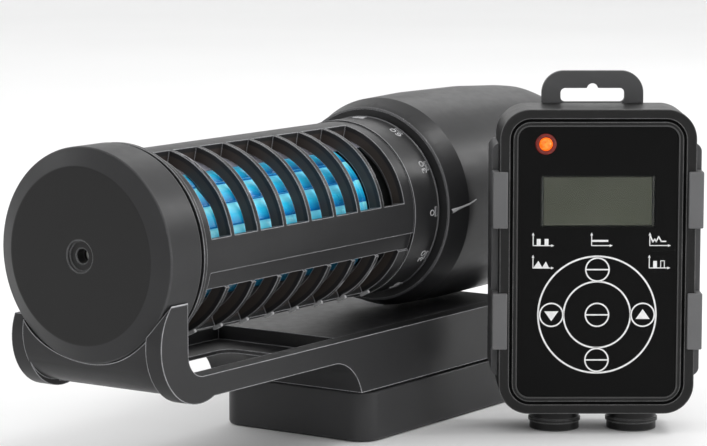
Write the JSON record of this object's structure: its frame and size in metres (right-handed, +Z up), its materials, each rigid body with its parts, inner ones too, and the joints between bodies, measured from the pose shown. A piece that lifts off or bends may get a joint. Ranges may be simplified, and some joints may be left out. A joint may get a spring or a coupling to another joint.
{
  "type": "wave maker pump",
  "caption": "Magnet-mounted cross-flow aquarium wave maker: grilled barrel with a blue impeller, motor housing, cradle, magnet block and a separate keypad controller.",
  "frame": {"origin": "centre of the outer magnet block's flat bottom face, straight below the middle of the block", "axes": "+X along the pump from end cap to motor, +Z up out of the magnet block, -Y towards the side the controller stands on"},
  "size_m": [0.264, 0.1495, 0.1196],
  "materials": {
    "pump_plastic": "satin",
    "cap_plastic": "satin",
    "blue_plastic": "gloss",
    "grey_insert": "satin",
    "rubber": "matt",
    "ceramic": "polished",
    "magnet": "nickel plated",
    "steel": "plain",
    "copper": "enamelled winding",
    "resin": "potted",
    "board": "solder mask",
    "block_plastic": "satin",
    "ctl_shell": "satin",
    "ctl_grey": "satin",
    "ctl_clip_grey": "satin",
    "ctl_overlay": "semi-gloss",
    "window": "clear",
    "screen": "unlit display",
    "led": "lit indicator",
    "contacts": "plated"
  },
  "bodies": {
    "outer_block": {"outer_case": "block_plastic", "outer_yoke": "steel", "outer_magnets": "magnet", "outer_lid": "block_plastic", "outer_pad": "rubber"},
    "cradle_and_motor": {"cradle": "pump_plastic", "saddle_pads": "rubber", "inner_yoke": "steel", "inner_magnets": "magnet", "inner_cover": "block_plastic", "cradle_screws": "steel", "motor_housing": "pump_plastic", "motor_nose": "cap_plastic", "motor_can": "grey_insert", "rear_bush": "rubber", "stator_core": "steel", "stator_coils": "copper", "driver_board": "board", "potting": "resin", "rear_cover": "pump_plastic", "rear_seal": "rubber", "cable_gland": "cap_plastic", "gland_nut": "cap_plastic"},
    "grille_barrel": {"end_cap": "cap_plastic", "cap_bush": "rubber", "cage": "pump_plastic", "scale_collar": "pump_plastic", "inner_baffle": "grey_insert"},
    "impeller": {"impeller_blades": "blue_plastic", "impeller_discs": "blue_plastic", "impeller_rings": "blue_plastic", "shaft": "ceramic", "shaft_washers": "ceramic", "rotor_magnet": "magnet", "rotor_sleeve": "blue_plastic"},
    "controller": {"ctl_front": "ctl_shell", "ctl_back": "ctl_shell", "ctl_gasket": "rubber", "ctl_holder": "ctl_grey", "ctl_clips": "ctl_clip_grey", "ctl_face": "ctl_overlay", "ctl_window": "window", "ctl_screen": "screen", "ctl_led": "led", "ctl_board": "board", "ctl_switches": "ctl_shell", "socket_pump": "ctl_shell", "socket_power": "ctl_shell", "socket_pins": "contacts", "ctl_screws": "steel"},
    "key_up_body": {"key_up": "ctl_overlay"},
    "key_down_body": {"key_down": "ctl_overlay"},
    "key_left_body": {"key_left": "ctl_overlay"},
    "key_right_body": {"key_right": "ctl_overlay"},
    "key_middle_body": {"key_middle": "ctl_overlay"}
  },
  "joints": [
    {"name": "magnet_part", "type": "slide", "parent": "outer_block", "child": "cradle_and_motor", "axis": [0, 0, 1], "range_m": [0, 0.015]},
    {"name": "barrel_aim", "type": "hinge", "parent": "cradle_and_motor", "child": "grille_barrel", "pos_m": [0, 0, 0.0728], "axis": [1, 0, 0], "range_deg": [-90, 90]},
    {"name": "impeller_spin", "type": "hinge", "parent": "cradle_and_motor", "child": "impeller", "pos_m": [0, 0, 0.0728], "axis": [1, 0, 0], "continuous": true},
    {"name": "controller_lift", "type": "slide", "parent": "outer_block", "child": "controller", "axis": [0, 0, 1], "range_m": [0, 0.05]},
    {"name": "key_up_press", "type": "slide", "parent": "controller", "child": "key_up_body", "axis": [0.8192, 0.5736, 0], "range_m": [0, 0.0005], "stiffness_N_per_m": 1500},
    {"name": "key_down_press", "type": "slide", "parent": "controller", "child": "key_down_body", "axis": [0.8192, 0.5736, 0], "range_m": [0, 0.0005], "stiffness_N_per_m": 1500},
    {"name": "key_left_press", "type": "slide", "parent": "controller", "child": "key_left_body", "axis": [0.8192, 0.5736, 0], "range_m": [0, 0.0005], "stiffness_N_per_m": 1500},
    {"name": "key_right_press", "type": "slide", "parent": "controller", "child": "key_right_body", "axis": [0.8192, 0.5736, 0], "range_m": [0, 0.0005], "stiffness_N_per_m": 1500},
    {"name": "key_middle_press", "type": "slide", "parent": "controller", "child": "key_middle_body", "axis": [0.8192, 0.5736, 0], "range_m": [0, 0.0005], "stiffness_N_per_m": 1500}
  ]
}
